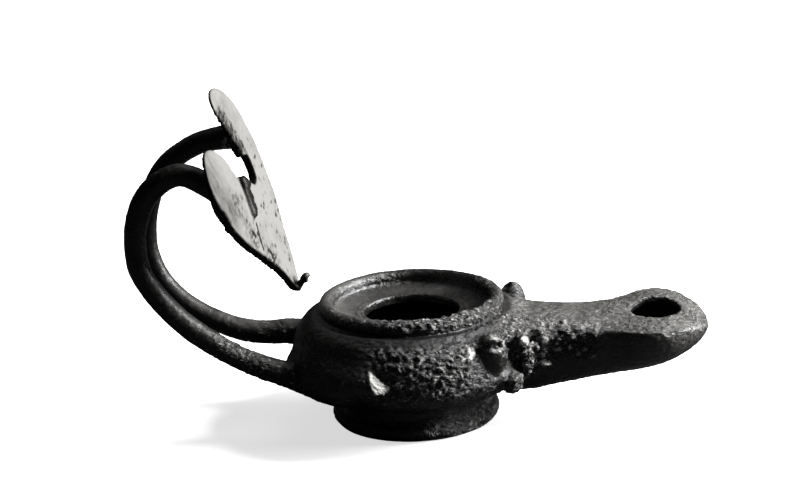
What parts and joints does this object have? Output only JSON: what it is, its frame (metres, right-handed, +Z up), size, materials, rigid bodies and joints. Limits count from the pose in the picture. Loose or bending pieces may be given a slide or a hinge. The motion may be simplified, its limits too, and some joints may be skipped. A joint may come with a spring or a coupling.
{
  "type": "roman oil lamp",
  "caption": "Hollow bronze oil lamp with a round bowl on a turned foot, a long nozzle with a wick hole, and a looped strand handle that carries a heart-shaped leaf.",
  "frame": {"origin": "middle of the foot's underside, on the flat button that stands level with the foot ring", "axes": "+X along the nozzle toward the wick hole, +Y to the left side looking along the nozzle, +Z up"},
  "size_m": [0.1748, 0.0736, 0.1024],
  "materials": {
    "dark_bronze": "corroded dark brown-black bronze patina, pitted, softly shining on smooth places",
    "handle_bronze": "smooth dark bronze patina with a soft shine",
    "leaf_bronze": "worn paler bronze, rough and pitted"
  },
  "bodies": {
    "root": {"lamp_body": "dark_bronze", "handle_strand_right": "handle_bronze", "handle_strand_left": "handle_bronze", "leaf_reflector": "leaf_bronze"}
  },
  "joints": []
}
